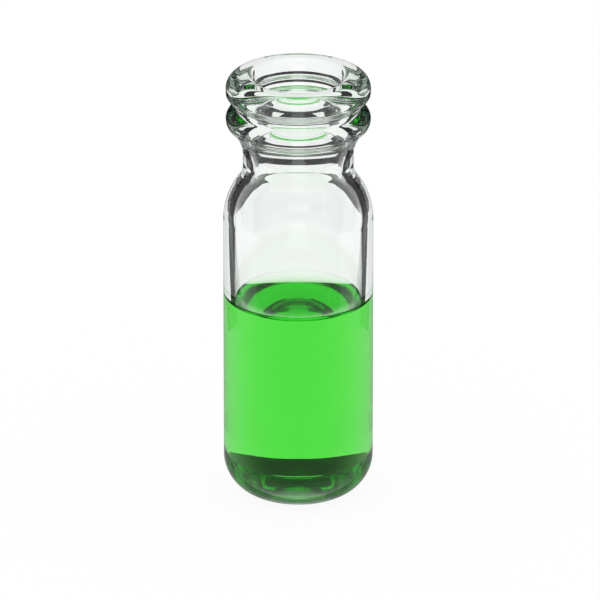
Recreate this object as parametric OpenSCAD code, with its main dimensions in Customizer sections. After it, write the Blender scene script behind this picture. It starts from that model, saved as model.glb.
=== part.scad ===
// Wide-mouth glass sample vial with an 11 mm snap-ring and crimp finish, part filled with a
// liquid sample. The vial is one piece of drawn glass tube, formed at its base, shoulder, neck
// and two finish rings, so it is one solid of revolution. The sample fills the cavity below.
// Units are millimetres, +Z is up, and the origin is the middle of the plane the vial stands on.

/* [Body] */
// Overall height, from the standing plane to the top of the lip
vial_h = 33.9; // [30:0.1:40]
// Outside diameter of the tube
body_d = 11.4; // [10.6:0.1:12.4]
// Thickness of the tube's wall
wall = 0.85; // [0.7:0.05:1.3]
// Thickness of the base, measured from the standing plane
base_t = 1.2; // [0.8:0.1:2]
// Outside radius where the body turns into the base
heel_round = 3.1; // [2:0.1:3.4]
// Diameter of the shallow dome pressed up into the underside
punt_d = 4.0; // [2:0.1:4.6]
// Height of that dome at its middle
punt_depth = 0.25; // [0.1:0.05:0.5]

/* [Shoulder and neck] */
// Outside diameter of the neck
neck_d = 8.4; // [8:0.1:9]
// Length of the straight part of the neck
neck_len = 0.85; // [0.5:0.05:3]
// Diameter of the bore through the neck and the mouth
bore_d = 6.6; // [5:0.1:7]
// Outside radius of the shoulder's upper bulge
shoulder_round = 5.3; // [4:0.1:7]
// Outside radius of the sweep from the shoulder into the neck
neck_sweep = 1.7; // [1:0.1:3]

/* [Finish] */
// Diameter over the crimp ring and the snap ring
ring_d = 11.0; // [10.6:0.1:11.4]
// Length of the straight land round the crimp ring
land_len = 0.3; // [0.2:0.05:0.8]
// Radius from that land up on to the top of the lip
lip_round = 1.05; // [0.7:0.05:1.2]
// Radius from the top of the lip into the bore
mouth_round = 0.6; // [0.3:0.05:1.1]
// Radius under the crimp ring's land
crimp_under_round = 0.5; // [0.4:0.05:0.7]
// Radius at the bottom of the groove between the rings
groove_round = 0.45; // [0.35:0.05:0.55]
// Height from the snap ring's widest line to the crimp ring's land
ring_pitch = 2.15; // [2:0.05:2.4]
// Radius of the snap ring's edge
snap_round = 0.95; // [0.85:0.05:1.1]
// Radius of the sweep under the snap ring, down into the neck
snap_sweep = 3; // [2:0.1:3.4]

/* [Sample] */
// Depth of the sample at its middle, above the inside of the base
sample_depth = 14.3; // [4:0.1:16]
// Height that the sample climbs from its middle to the glass
meniscus_rise = 0.7; // [0.5:0.1:1.6]
// How far in from the glass the climb reaches: it falls by about 2.7 times over this length
meniscus_reach = 0.5; // [0.4:0.05:0.8]

/* [Hidden] */
$fn = 96;

glass_colour = [0.86, 0.92, 0.89, 0.4];
sample_colour = [0.3, 0.85, 0.28];

// Degrees between the points of an arc
arc_step = 6;
// Rings of points across the sample's curved surface, closer together near the glass
meniscus_steps = 36;
// Terms smaller than this end a series
series_end = 0.00001;

body_r = body_d / 2;
cavity_r = body_r - wall;
neck_r = neck_d / 2;
bore_r = bore_d / 2;
ring_r = ring_d / 2;
punt_r = punt_d / 2;

// The inside follows the outside at the wall's thickness
heel_in = heel_round - wall;
shoulder_in = shoulder_round - wall;
neck_sweep_in = neck_sweep + wall;

// Angle that two arcs of radii a and b turn through where they join two upright walls set
// apart by drop, and the height of that join
function ogee_angle(drop, a, b) = acos(1 - drop / (a + b));
function ogee_height(drop, a, b) = (a + b) * sin(ogee_angle(drop, a, b));

// Points along an arc about c from angle a0 to a1. The first is left out where skip is 1,
// because the arc before it ends there.
function arc(c, r, a0, a1, skip = 0) =
    let (steps = ceil(abs(a1 - a0) / arc_step))
    [for (i = [skip:steps])
        let (a = a0 + (a1 - a0) * i / steps)
        [c.x + r * cos(a), c.y + r * sin(a)]];

// Direction in degrees from point p to point q
function bearing(p, q) = atan2(q.y - p.y, q.x - p.x);

// Centre of the fillet of radius r that rests outside two circles, on the side away from the axis
function fillet_centre(p, p_r, q, q_r, r) =
    let (
        span = norm(q - p),
        along = (pow(p_r + r, 2) - pow(q_r + r, 2) + span * span) / (2 * span),
        out = sqrt(pow(p_r + r, 2) - along * along),
        dir = (q - p) / span
    )
    p + dir * along + [dir.y, -dir.x] * out;

// Heights, from the lip down
land_top_z = vial_h - lip_round;
land_z = land_top_z - land_len;
snap_z = land_z - ring_pitch;

// Centres of the round parts of the finish
lip_c = [ring_r - lip_round, land_top_z];
under_c = [ring_r - crimp_under_round, land_z];
snap_c = [ring_r - snap_round, snap_z];
groove_c = fillet_centre(snap_c, snap_round, under_c, crimp_under_round, groove_round);
sweep_x = neck_r + snap_sweep;
sweep_c = [sweep_x, snap_z - sqrt(pow(snap_round + snap_sweep, 2) - pow(sweep_x - snap_c.x, 2))];

// Heights of the straight neck's ends and of the shoulder's start, outside and inside
neck_top_z = sweep_c.y;
neck_z = neck_top_z - neck_len;
shoulder_z = neck_z - ogee_height(body_r - neck_r, shoulder_round, neck_sweep);
shoulder_in_z = neck_z - ogee_height(cavity_r - bore_r, shoulder_in, neck_sweep_in);
shoulder_turn = ogee_angle(body_r - neck_r, shoulder_round, neck_sweep);
shoulder_in_turn = ogee_angle(cavity_r - bore_r, shoulder_in, neck_sweep_in);

// The dome under the base is part of a sphere
dome_r = (punt_r * punt_r + punt_depth * punt_depth) / (2 * punt_depth);
dome_c = [0, punt_depth - dome_r];

// From the middle of the underside, out round the heel and up to the neck
base_to_neck = concat(
    [[0, punt_depth]],
    arc(dome_c, dome_r, 90, bearing(dome_c, [punt_r, 0]), 1),
    arc([body_r - heel_round, heel_round], heel_round, -90, 0),
    arc([body_r - shoulder_round, shoulder_z], shoulder_round, 0, shoulder_turn),
    arc([neck_r + neck_sweep, neck_z], neck_sweep, 180 + shoulder_turn, 180, 1)
);

// From the neck out over the snap ring, the groove and the crimp ring to the top of the lip
finish = concat(
    arc(sweep_c, snap_sweep, 180, bearing(sweep_c, snap_c)),
    arc(snap_c, snap_round, bearing(snap_c, sweep_c), bearing(snap_c, groove_c), 1),
    arc(groove_c, groove_round, bearing(groove_c, snap_c) + 360, bearing(groove_c, under_c), 1),
    arc(under_c, crimp_under_round, bearing(under_c, groove_c), 0, 1),
    arc(lip_c, lip_round, 0, 90)
);

// From the top of the lip down the bore and the inside of the shoulder to the cavity's wall
mouth_to_cavity = concat(
    arc([bore_r + mouth_round, vial_h - mouth_round], mouth_round, 90, 180),
    arc([bore_r + neck_sweep_in, neck_z], neck_sweep_in, 180, 180 + shoulder_in_turn),
    arc([cavity_r - shoulder_in, shoulder_in_z], shoulder_in, shoulder_in_turn, 0, 1)
);

// From the cavity's wall round the inside of the heel to the middle of the base
cavity_floor = concat(
    arc([cavity_r - heel_in, base_t + heel_in], heel_in, 0, -90),
    [[0, base_t]]
);

// Modified Bessel function of order zero, which is the shape that surface tension gives a
// liquid in a round tube
function bessel_i0(x, k = 1, term = 1) =
    term < series_end ? term : term + bessel_i0(x, k + 1, term * pow(x / (2 * k), 2));
function climb(r) =
    meniscus_rise * (bessel_i0(r / meniscus_reach) - 1)
        / (bessel_i0(cavity_r / meniscus_reach) - 1);

surface_z = base_t + sample_depth;
meniscus = [for (i = [0:meniscus_steps])
    let (r = cavity_r * sin(90 * i / meniscus_steps))
    [r, surface_z + climb(r)]];

module glass_vial() {
    color(glass_colour)
        rotate_extrude()
            polygon(concat(base_to_neck, finish, mouth_to_cavity, cavity_floor));
}

module sample_liquid() {
    color(sample_colour)
        rotate_extrude()
            polygon(concat(meniscus, cavity_floor));
}

glass_vial();
sample_liquid();
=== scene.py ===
"""A clear glass sample vial, part filled with a green liquid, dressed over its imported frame.

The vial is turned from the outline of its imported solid, and the sample from its own, each by
one Geometry Nodes tree. The stage is a white floor in a room of its own grey levels. Black flags
close beside the vial, and grey screens round it, give the clear glass its dark lines and bands.
"""

import math

import bmesh
import bpy
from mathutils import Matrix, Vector
from mathutils.kdtree import KDTree


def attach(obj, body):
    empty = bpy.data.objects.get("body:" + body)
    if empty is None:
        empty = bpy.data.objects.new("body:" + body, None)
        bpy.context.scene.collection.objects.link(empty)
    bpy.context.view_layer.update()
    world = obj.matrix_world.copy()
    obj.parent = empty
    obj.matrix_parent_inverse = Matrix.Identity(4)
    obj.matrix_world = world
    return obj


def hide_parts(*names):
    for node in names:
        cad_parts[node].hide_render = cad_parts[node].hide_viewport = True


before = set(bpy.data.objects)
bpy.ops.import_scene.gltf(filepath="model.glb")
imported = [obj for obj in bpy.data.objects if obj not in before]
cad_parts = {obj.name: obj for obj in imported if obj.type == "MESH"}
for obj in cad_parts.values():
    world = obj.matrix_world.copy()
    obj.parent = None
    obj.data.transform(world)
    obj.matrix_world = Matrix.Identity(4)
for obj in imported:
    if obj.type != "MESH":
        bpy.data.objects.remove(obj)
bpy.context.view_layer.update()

MM = 0.001
WHITE = (1, 1, 1, 1)

# The camera: its height above level, its lens, and the width of scene that it frames
CAMERA_RISE = math.radians(22)
LENS = 630.0
SENSOR = 36.0
FRAMED_WIDTH = 45.7 * MM
AIM = Vector((0.13 * MM, 0, 15.57 * MM))

# Outlines: points nearer than this are one ring's, and a smaller turn than this is none
SAME_RING = 0.004 * MM
LEAST_TURN = math.radians(0.1)
# Turned pieces: sides round the axis and the fewest that the tree takes, the longest step along
# an outline, the most that one step turns, the turn past which a point is a real corner, and how
# near two points of the mesh are merged
SIDES = 192
FEWEST_SIDES = 12
LONGEST_STEP = 0.6 * MM
STEP_TURN = math.radians(2)
CORNER = math.radians(8)
MERGED = 0.0001 * MM
# How far the sample's side lies inside the glass, so that no air is left between them
WETTED = 0.012 * MM
# The mark on the faces where glass and sample touch
WET = "wet"
# How far a face's normal may point out from the axis or down on the vial's inside, and how far
# up on the sample's wetted side
MOST_OUT = 0.1
MOST_DOWN = 0.5
MOST_UP = 0.05

# Clear materials: refractive index, own tint, and how densely the tint lies
GLASS = (1.5, (0.1, 0.75, 0.3), 16)
SAMPLE = (1.45, (0.2, 0.92, 0.08), 320)
# How often a ray bends or mirrors on its way through both, and mirrors alone
MOST_BOUNCES = 32
GLOSSY_BOUNCES = 16

# The stage: how far out the floor's edges lie, and how much of it glows to the camera
FLOOR_EDGE = 1.0
FLOOR_GLOW = 0.93
# Grey levels of the room as (sine of a ray's rise, level), through glass and mirrored in gloss
THROUGH_LEVELS = ((-1, 1.0), (0.28, 1.0), (0.36, 0.05), (0.93, 0.05), (0.98, 0.6))
MIRROR_LEVELS = ((-1, 0.4), (-0.05, 0.4), (0.05, 0.12), (0.75, 0.15), (0.9, 0.8))
# Black flags stand close beside the vial, one over the other. They are placed from the point that
# the camera looks at: how far out they stand, and how far before it they start. Then for each its
# low and high edge, how far behind that point it ends, and the inner edge of its slip
FLAG_BESIDE = 9 * MM
FLAG_BEFORE = 1 * MM
FLAGS = (
    (-3 * MM, 8.8 * MM, 3.6 * MM, 8.2 * MM),
    (8.8 * MM, 13 * MM, 14 * MM, 7.3 * MM),
    (13 * MM, 45 * MM, 3.6 * MM, 8.2 * MM),
)
BLACK = 0.02
PLAIN_WHITE = 1.0
# The flags stand twice, at the camera's own range and at that of the side views, which is this
# share of it. A white slip stands before each flag of the camera's own range, and hides it where
# a side view would look past the vial at it: how far before that point, and its outer edge
VIEW_RANGE = 0.846
SLIP_BEFORE = 4.8 * MM
SLIP_OUTER = 9.05 * MM
# How far off the near and the far screens stand, the most that their stations are apart, and the
# mark that holds a screen's grey level
NEAR = 200 * MM
FAR = 800 * MM
SCREEN_STEP = 3
GREY = "grey"
# Screens stand round the vial, alike on both sides, some near and some far. Each is given by
# stations of (bearing, low edge, top, grey level), in degrees seen from the point that the camera
# looks at, where bearing 0 is straight behind the vial and 180 straight before it
BEHIND_NEAR = (
    (0, -7.9, 6, 0.05),
    (8, -8.5, 6, 0.05),
    (13, -12, 6, 0.05),
    (18, -14, 27, 0.06),
    (24, -14.2, 27, 0.09),
    (32, -13, 27, 0.14),
    (42, -10.5, 27, 0.22),
    (52, -7, 27, 0.3),
)
BEHIND_FAR = ((0, -12.6, -3, 0.05), (18, -11.9, -3, 0.06), (24, -11.4, -3, 0.09))
BESIDE = (
    (50, -3, 40, 0.3),
    (62, 2, 40, 0.35),
    (72, -4, 40, 0.2),
    (80, -14, 40, 0.12),
    (115, -14, 40, 0.12),
)
# Seen through the glass alone
BEFORE = (
    ((115, -12, 22, 0.06), (166, -12, 22, 0.06)),
    ((112, -20.6, -12, 0.06), (160, -20.6, -12, 0.06)),
    ((105, -24, -20.6, 0.4), (180, -24, -20.6, 0.4)),
    ((118, -29, -24, 0.06), (160, -27, -24, 0.06)),
    ((155, 56, 74, 0.8), (180, 56, 74, 0.8)),
)
# Seen in gloss alone
APRON = ((100, -70, 5, 0.35), (180, -70, 5, 0.35))


# ---------------------------------------------------------------- outlines from the frame


def outline_rings(node):
    """The rings of points that a node's solid of revolution is made of, as (radius, height), in
    order along its outline from the middle of its underside to the other end on the axis."""
    mesh = bpy.data.objects[node].data
    tree = KDTree(len(mesh.vertices))
    spots = [Vector((math.hypot(v.co.x, v.co.y), 0, v.co.z)) for v in mesh.vertices]
    for i, p in enumerate(spots):
        tree.insert(p, i)
    tree.balance()
    ring_of, rings = {}, []
    for i, p in enumerate(spots):
        if i not in ring_of:
            for _, j, _ in tree.find_range(p, SAME_RING):
                ring_of.setdefault(j, len(rings))
            rings.append(Vector((p.x, p.z)))
    beside = [set() for _ in rings]
    for e in mesh.edges:
        a, b = (ring_of[v] for v in e.vertices)
        if a != b:
            beside[a].add(b)
            beside[b].add(a)
    # The outline's ends have one neighbour: a pole, or the edge of a flat disc round the axis
    ends = [i for i, others in enumerate(beside) if len(others) == 1]
    here = min(ends, key=lambda i: rings[i].y)
    path = []
    while here is not None:
        path.append(here)
        here = next((i for i in beside[here] if i not in path), None)
    points = [rings[i] for i in path if rings[i].x > SAME_RING]
    first, last = (Vector((0.0, rings[i].y)) for i in (path[0], path[-1]))
    return [first] + points + [last]


def heading(a, b):
    """The way from point a to point b, as an angle."""
    return math.atan2(b.y - a.y, b.x - a.x)


def turn(a, b):
    """The signed turn from heading a to heading b, under half a circle either way."""
    return math.remainder(b - a, math.tau)


def without_straight_points(points):
    """Drops the points that lie on a straight line between their neighbours."""
    kept = points[:1]
    for p, q in zip(points[1:], points[2:]):
        if abs(turn(heading(kept[-1], p), heading(p, q))) > LEAST_TURN:
            kept.append(p)
    return kept + points[-1:]


def smoothed(points):
    """The outline with its arcs made round: each step between two points becomes a cubic curve
    that leaves and arrives along the outline's own direction there. Real corners stay."""
    steps = list(zip(points, points[1:]))
    along = [heading(a, b) for a, b in steps]
    length = [(b - a).length for a, b in steps]
    leave, arrive = list(along), list(along)
    for i in range(1, len(points) - 1):
        bend = turn(along[i - 1], along[i])
        if abs(bend) < CORNER:
            share = length[i] / (length[i - 1] + length[i])
            arrive[i - 1] = leave[i] = along[i - 1] + bend * share
    # The pole of a turned form is level
    leave[0] = 0.0
    arrive[-1] = math.pi
    out = []
    for i, (a, b) in enumerate(steps):
        start = Vector((math.cos(leave[i]), math.sin(leave[i]))) * length[i]
        end = Vector((math.cos(arrive[i]), math.sin(arrive[i]))) * length[i]
        bend = abs(turn(leave[i], arrive[i]))
        count = max(math.ceil(length[i] / LONGEST_STEP), math.ceil(bend / STEP_TURN), 1)
        for k in range(count):
            t = k / count
            out.append(
                a * (2 * t**3 - 3 * t**2 + 1)
                + start * (t**3 - 2 * t**2 + t)
                + b * (3 * t**2 - 2 * t**3)
                + end * (t**3 - t**2)
            )
    return out + [points[-1]]


def wetted(points):
    """The sample's outline with its floor and side pushed WETTED into the glass, up to its
    highest point, where the side ends at the rim of its surface."""
    rim = max(range(len(points)), key=lambda i: points[i].y)
    steps = [(b - a).normalized() for a, b in zip(points, points[1:])]
    out = []
    for i in range(rim + 1):
        before, after = steps[max(i - 1, 0)], steps[min(i, rim - 1)]
        way = (before + after).normalized()
        out.append(points[i] + Vector((way.y, -way.x)) * WETTED)
    # The outline still starts on the axis
    out[0].x = 0.0
    return out + points[rim + 1:]


# ---------------------------------------------------------------- turned pieces


def link(tree, a, b):
    tree.links.new(a, b)


def math_node(tree, operation, a, b):
    """The result of a math node on a and b, each a socket or a number. Some take no b."""
    n = tree.nodes.new("ShaderNodeMath")
    n.operation = operation
    for socket, value in zip(n.inputs, (a, b)):
        if isinstance(value, (int, float)):
            socket.default_value = value
        elif value is not None:
            link(tree, value, socket)
    return n.outputs[0]


def turning_tree():
    """Turns an outline, given as a chain of points with X as the radius, round the Z axis."""
    tree = bpy.data.node_groups.new("turned form", "GeometryNodeTree")
    sockets = tree.interface.new_socket
    sockets("Outline", in_out="INPUT", socket_type="NodeSocketGeometry")
    sides = sockets("Sides", in_out="INPUT", socket_type="NodeSocketInt")
    sides.min_value = FEWEST_SIDES
    sockets("Corner", in_out="INPUT", socket_type="NodeSocketFloat")
    sockets("Finish", in_out="INPUT", socket_type="NodeSocketMaterial")
    sockets("Turned", in_out="OUTPUT", socket_type="NodeSocketGeometry")
    new = tree.nodes.new
    given, result = new("NodeGroupInput"), new("NodeGroupOutput")

    points = new("GeometryNodeAttributeDomainSize")
    link(tree, given.outputs["Outline"], points.inputs["Geometry"])
    columns = math_node(tree, "ADD", given.outputs["Sides"], 1)
    grid = new("GeometryNodeMeshGrid")
    link(tree, points.outputs["Point Count"], grid.inputs["Vertices X"])
    link(tree, columns, grid.inputs["Vertices Y"])

    index = new("GeometryNodeInputIndex").outputs["Index"]
    row = math_node(tree, "FLOOR", math_node(tree, "DIVIDE", index, columns), None)
    column = math_node(tree, "MODULO", index, columns)
    share = math_node(tree, "DIVIDE", column, given.outputs["Sides"])
    angle = math_node(tree, "MULTIPLY", share, math.tau)
    place = new("GeometryNodeSampleIndex")
    place.data_type = "FLOAT_VECTOR"
    link(tree, given.outputs["Outline"], place.inputs["Geometry"])
    link(tree, new("GeometryNodeInputPosition").outputs["Position"], place.inputs["Value"])
    link(tree, row, place.inputs["Index"])
    rotate = new("ShaderNodeVectorRotate")
    rotate.rotation_type = "Z_AXIS"
    link(tree, place.outputs["Value"], rotate.inputs["Vector"])
    link(tree, angle, rotate.inputs["Angle"])
    put = new("GeometryNodeSetPosition")
    link(tree, grid.outputs["Mesh"], put.inputs["Geometry"])
    link(tree, rotate.outputs["Vector"], put.inputs["Position"])

    merge = new("GeometryNodeMergeByDistance")
    merge.inputs["Distance"].default_value = MERGED
    link(tree, put.outputs["Geometry"], merge.inputs["Geometry"])
    smooth = new("GeometryNodeSetShadeSmooth")
    link(tree, merge.outputs["Geometry"], smooth.inputs["Geometry"])
    crease = new("GeometryNodeSetShadeSmooth")
    crease.domain = "EDGE"
    crease.inputs["Shade Smooth"].default_value = False
    link(tree, smooth.outputs["Geometry"], crease.inputs["Geometry"])
    fold = new("GeometryNodeInputMeshEdgeAngle").outputs["Unsigned Angle"]
    sharp = math_node(tree, "GREATER_THAN", fold, given.outputs["Corner"])
    link(tree, sharp, crease.inputs["Selection"])

    real = new("GeometryNodeRealizeInstances")
    link(tree, crease.outputs["Geometry"], real.inputs["Geometry"])
    finish = new("GeometryNodeSetMaterial")
    link(tree, real.outputs["Geometry"], finish.inputs["Geometry"])
    link(tree, given.outputs["Finish"], finish.inputs["Material"])
    link(tree, finish.outputs["Geometry"], result.inputs["Turned"])
    return tree


def link_object(name, data):
    o = bpy.data.objects.new(name, data)
    bpy.context.collection.objects.link(o)
    return o


def turned_piece(name, outline, tree, finish):
    """A closed piece turned from the outline, as a plain mesh with its faces outwards."""
    chain = bpy.data.meshes.new(name + "_outline")
    steps = [(i, i + 1) for i in range(len(outline) - 1)]
    chain.from_pydata([(p.x, 0, p.y) for p in outline], steps, [])
    blank = link_object(name + "_outline", chain)
    turning = blank.modifiers.new("turning", "NODES")
    turning.node_group = tree
    inputs = [s for s in tree.interface.items_tree if s.in_out == "INPUT"]
    given = {s.name: s.identifier for s in inputs}
    turning[given["Sides"]] = SIDES
    turning[given["Corner"]] = CORNER
    turning[given["Finish"]] = finish
    graph = bpy.context.evaluated_depsgraph_get()
    mesh = bpy.data.meshes.new_from_object(blank.evaluated_get(graph))
    mesh.name = name
    bpy.data.objects.remove(blank)
    form = bmesh.new()
    form.from_mesh(mesh)
    bmesh.ops.recalc_face_normals(form, faces=form.faces)
    form.to_mesh(mesh)
    form.free()
    return link_object(name, mesh)


def parted(points, height):
    """The outline with one more point, where its last upright run crosses the height."""
    i = max(k for k, (a, b) in enumerate(zip(points, points[1:])) if a.y > height >= b.y)
    a, b = points[i], points[i + 1]
    return points[: i + 1] + [a.lerp(b, (a.y - height) / (a.y - b.y))] + points[i + 1:]


def on_inside(face):
    """Whether a face of the vial is on its inside, or on top of its lip."""
    out = face.center.xy
    return face.normal.xy.dot(out) < MOST_OUT * out.length and face.normal.z > -MOST_DOWN


def mark_wet(piece, touches):
    """Marks the faces where glass and sample touch, for the piece's material."""
    marks = piece.data.attributes.new(WET, "FLOAT", "FACE")
    for face in piece.data.polygons:
        marks.data[face.index].value = float(touches(face))


# ---------------------------------------------------------------- materials


def clear_material(name, index, tint, density):
    """A clear material whose tint deepens with the length of the way through. It mirrors only
    where it meets air: glass and sample don't part where they touch, so hardly anything is
    mirrored there."""
    m = bpy.data.materials.new(name)
    m.use_nodes = True
    tree = m.node_tree
    shader = tree.nodes["Principled BSDF"]
    shader.inputs["Base Color"].default_value = WHITE
    shader.inputs["Roughness"].default_value = 0.0
    shader.inputs["IOR"].default_value = index
    shader.inputs["Transmission Weight"].default_value = 1.0
    wet = tree.nodes.new("ShaderNodeAttribute")
    wet.attribute_name = WET
    bare = math_node(tree, "SUBTRACT", 1, wet.outputs["Fac"])
    link(tree, bare, shader.inputs["Specular Tint"])
    soaked = tree.nodes.new("ShaderNodeVolumeAbsorption")
    soaked.inputs["Color"].default_value = (*tint, 1)
    soaked.inputs["Density"].default_value = density
    link(tree, soaked.outputs["Volume"], tree.nodes["Material Output"].inputs["Volume"])
    return m


def blank_material(name):
    """A material with nothing but its output, and its tree."""
    m = bpy.data.materials.new(name)
    m.use_nodes = True
    tree = m.node_tree
    tree.nodes.clear()
    tree.nodes.new("ShaderNodeOutputMaterial")
    return m, tree


# ---------------------------------------------------------------- camera and stage


def set_camera():
    """Sets the camera, and gives its distance from the point that it looks at."""
    cam = bpy.data.cameras.new("camera")
    cam.lens, cam.sensor_width = LENS, SENSOR
    away = FRAMED_WIDTH * LENS / SENSOR
    back = Vector((0, -math.cos(CAMERA_RISE), math.sin(CAMERA_RISE)))
    o = link_object("camera", cam)
    o.location = AIM + back * away
    o.rotation_euler = (-back).to_track_quat("-Z", "Y").to_euler()
    bpy.context.scene.camera = o
    return o, away


def board(name, corners, material):
    """A flat board of four corners."""
    mesh = bpy.data.meshes.new(name)
    mesh.from_pydata(corners, [], [(0, 1, 2, 3)])
    mesh.materials.append(material)
    return link_object(name, mesh)


def set_floor():
    """A white floor that takes the vial's shadow. The glass looks through it to the room."""
    m, tree = blank_material("white_floor")
    lit = tree.nodes.new("ShaderNodeBsdfDiffuse")
    lit.inputs["Color"].default_value = WHITE
    glow = tree.nodes.new("ShaderNodeEmission")
    seen = tree.nodes.new("ShaderNodeLightPath").outputs["Is Camera Ray"]
    mix = tree.nodes.new("ShaderNodeMixShader")
    link(tree, math_node(tree, "MULTIPLY", seen, FLOOR_GLOW), mix.inputs[0])
    link(tree, lit.outputs[0], mix.inputs[1])
    link(tree, glow.outputs[0], mix.inputs[2])
    link(tree, mix.outputs[0], tree.nodes["Material Output"].inputs["Surface"])
    reach = FLOOR_EDGE
    corners = [(-reach, -reach, 0), (reach, -reach, 0), (reach, reach, 0), (-reach, reach, 0)]
    floor = board("floor", corners, m)
    floor.visible_transmission = floor.visible_glossy = False


def level_ramp(tree, height, levels):
    """A grey level that depends on how high a ray looks, given as (sine of its rise, level)."""
    scaled = tree.nodes.new("ShaderNodeMapRange")
    scaled.inputs["From Min"].default_value = -1
    link(tree, height, scaled.inputs["Value"])
    ramp = tree.nodes.new("ShaderNodeValToRGB")
    link(tree, scaled.outputs["Result"], ramp.inputs["Fac"])
    stops = ramp.color_ramp.elements
    # A new ramp has two stops already
    while len(stops) < len(levels):
        stops.new(1)
    for stop, (sine, level) in zip(stops, levels):
        stop.position = (sine + 1) / 2
        stop.color = (level, level, level, 1)
    return ramp.outputs["Color"]


def mixed(tree, share, a, b):
    """A colour mixed from a, which may be a plain colour, and b."""
    mix = tree.nodes.new("ShaderNodeMix")
    mix.data_type = "RGBA"
    # The node has sockets of one name for each type of data, so the colours are picked out
    ends = {s.name: s for s in mix.inputs if s.type == "RGBA"}
    link(tree, share, mix.inputs["Factor"])
    if isinstance(a, tuple):
        ends["A"].default_value = a
    else:
        link(tree, a, ends["A"])
    link(tree, b, ends["B"])
    return next(s for s in mix.outputs if s.type == "RGBA")


def set_room():
    """White to the camera and as the light on the floor. Gloss and glass see the room's own
    levels, from its bright floor up to its ceiling."""
    world = bpy.data.worlds.new("room")
    bpy.context.scene.world = world
    world.use_nodes = True
    tree = world.node_tree
    tree.nodes.clear()
    where = tree.nodes.new("ShaderNodeTexCoord")
    split = tree.nodes.new("ShaderNodeSeparateXYZ")
    link(tree, where.outputs["Generated"], split.inputs[0])
    path = tree.nodes.new("ShaderNodeLightPath")
    height = split.outputs["Z"]
    through = level_ramp(tree, height, THROUGH_LEVELS)
    mirrored = level_ramp(tree, height, MIRROR_LEVELS)
    # A refracted ray counts as glossy too, so it is sorted out last
    colour = mixed(tree, path.outputs["Is Glossy Ray"], WHITE, mirrored)
    colour = mixed(tree, path.outputs["Is Transmission Ray"], colour, through)
    glow = tree.nodes.new("ShaderNodeBackground")
    link(tree, colour, glow.inputs["Color"])
    output = tree.nodes.new("ShaderNodeOutputWorld")
    link(tree, glow.outputs[0], output.inputs["Surface"])


def level_material(name, level):
    """An even grey, whatever light falls on it."""
    m, tree = blank_material(name)
    glow = tree.nodes.new("ShaderNodeEmission")
    glow.inputs["Color"].default_value = (level, level, level, 1)
    link(tree, glow.outputs[0], tree.nodes["Material Output"].inputs["Surface"])
    return m


def stand_with(camera, o):
    """Has a flag or screen stand with the camera, where only gloss and glass see it."""
    o.parent = camera
    o.visible_camera = o.visible_diffuse = o.visible_shadow = False
    o.visible_volume_scatter = False


def set_flags(camera, away):
    """Flags that give the clear wall its dark lines, at the camera's own range and at that of
    the side views."""
    black = level_material("flag_black", BLACK)
    white = level_material("slip_white", PLAIN_WHITE)
    for side in (-1, 1):
        x, outer = side * FLAG_BESIDE, side * SLIP_OUTER
        for low, high, end, inner in FLAGS:
            for range_to in (away, away * VIEW_RANGE):
                near, far = FLAG_BEFORE - range_to, -end - range_to
                corners = [(x, low, near), (x, low, far), (x, high, far), (x, high, near)]
                stand_with(camera, board("flag", corners, black))
            within, ahead = side * inner, SLIP_BEFORE - away
            edges = ((within, low), (outer, low), (outer, high), (within, high))
            slip = board("slip", [(*edge, ahead) for edge in edges], white)
            slip.visible_glossy = False
            stand_with(camera, slip)


def stations(form):
    """A screen's stations, with more put evenly between them."""
    for a, b in zip(form, form[1:]):
        count = math.ceil((b[0] - a[0]) / SCREEN_STEP)
        for i in range(count):
            yield tuple(p + (q - p) * i / count for p, q in zip(a, b))
    yield form[-1]


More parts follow.
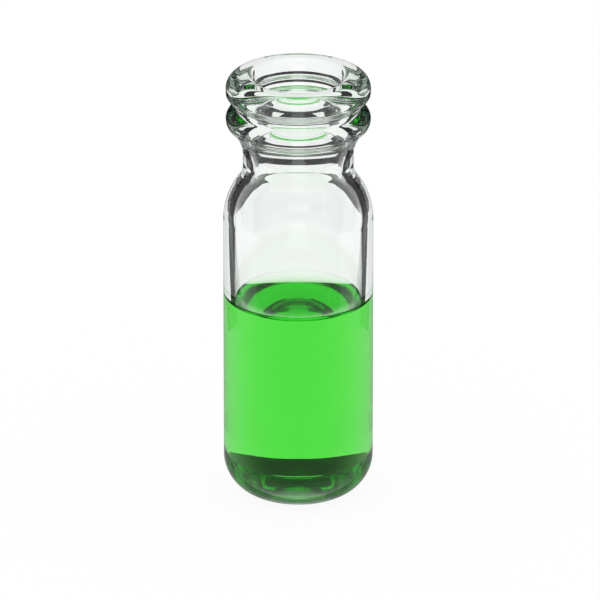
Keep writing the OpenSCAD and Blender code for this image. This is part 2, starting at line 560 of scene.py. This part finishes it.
def screens(name, form, out, material, camera, away):
    """A curved screen on each side, at one distance from where the camera looks."""
    to_camera = camera.rotation_euler.to_matrix().inverted()

    def place(side, bearing, rise):
        bearing, rise = math.radians(bearing), math.radians(rise)
        flat = math.cos(rise)
        aside, along = math.sin(bearing) * side * flat, math.cos(bearing) * flat
        way = Vector((aside, along, math.sin(rise)))
        return to_camera @ way * out - Vector((0, 0, away))

    made = []
    for side in (-1, 1):
        corners, levels = [], []
        for bearing, low, top, level in stations(form):
            corners += [place(side, bearing, low), place(side, bearing, top)]
            levels += [level, level]
        faces = [(i, i + 2, i + 3, i + 1) for i in range(0, len(corners) - 2, 2)]
        mesh = bpy.data.meshes.new(name)
        mesh.from_pydata(corners, [], faces)
        mesh.attributes.new(GREY, "FLOAT", "POINT").data.foreach_set("value", levels)
        mesh.materials.append(material)
        made.append(link_object(name, mesh))
        stand_with(camera, made[-1])
    return made


def set_screens(camera, away):
    """The room that the clear glass shows at its base, its shoulder and its rings."""
    # Each screen's own mark takes the place of this level
    m = level_material("screen_grey", PLAIN_WHITE)
    tree = m.node_tree
    grey = tree.nodes.new("ShaderNodeAttribute")
    grey.attribute_name = GREY
    link(tree, grey.outputs["Fac"], tree.nodes["Emission"].inputs["Color"])
    screens("screen_behind_near", BEHIND_NEAR, NEAR, m, camera, away)
    screens("screen_behind_far", BEHIND_FAR, FAR, m, camera, away)
    screens("screen_beside", BESIDE, FAR, m, camera, away)
    for form in BEFORE:
        for o in screens("screen_before", form, FAR, m, camera, away):
            o.visible_glossy = False
    for o in screens("screen_apron", APRON, FAR, m, camera, away):
        o.visible_transmission = False


# ---------------------------------------------------------------- the scene


camera, away = set_camera()
set_floor()
set_room()
set_flags(camera, away)
set_screens(camera, away)

turning = turning_tree()
sample_outline = wetted(smoothed(without_straight_points(outline_rings("sample_liquid"))))
rim = max(p.y for p in sample_outline)
vial_outline = parted(smoothed(without_straight_points(outline_rings("glass_vial"))), rim)

clear_glass = clear_material("clear_glass", *GLASS)
vial = turned_piece("turned_vial", vial_outline, turning, clear_glass)
mark_wet(vial, lambda face: on_inside(face) and face.center.z < rim)
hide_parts("glass_vial")
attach(vial, "root")

green_sample = clear_material("green_sample", *SAMPLE)
sample = turned_piece("held_sample", sample_outline, turning, green_sample)
mark_wet(sample, lambda face: face.normal.z < MOST_UP)
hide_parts("sample_liquid")
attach(sample, "root")

scene = bpy.context.scene
scene.view_settings.view_transform = "Standard"
scene.cycles.max_bounces = MOST_BOUNCES
scene.cycles.transmission_bounces = MOST_BOUNCES
scene.cycles.glossy_bounces = GLOSSY_BOUNCES
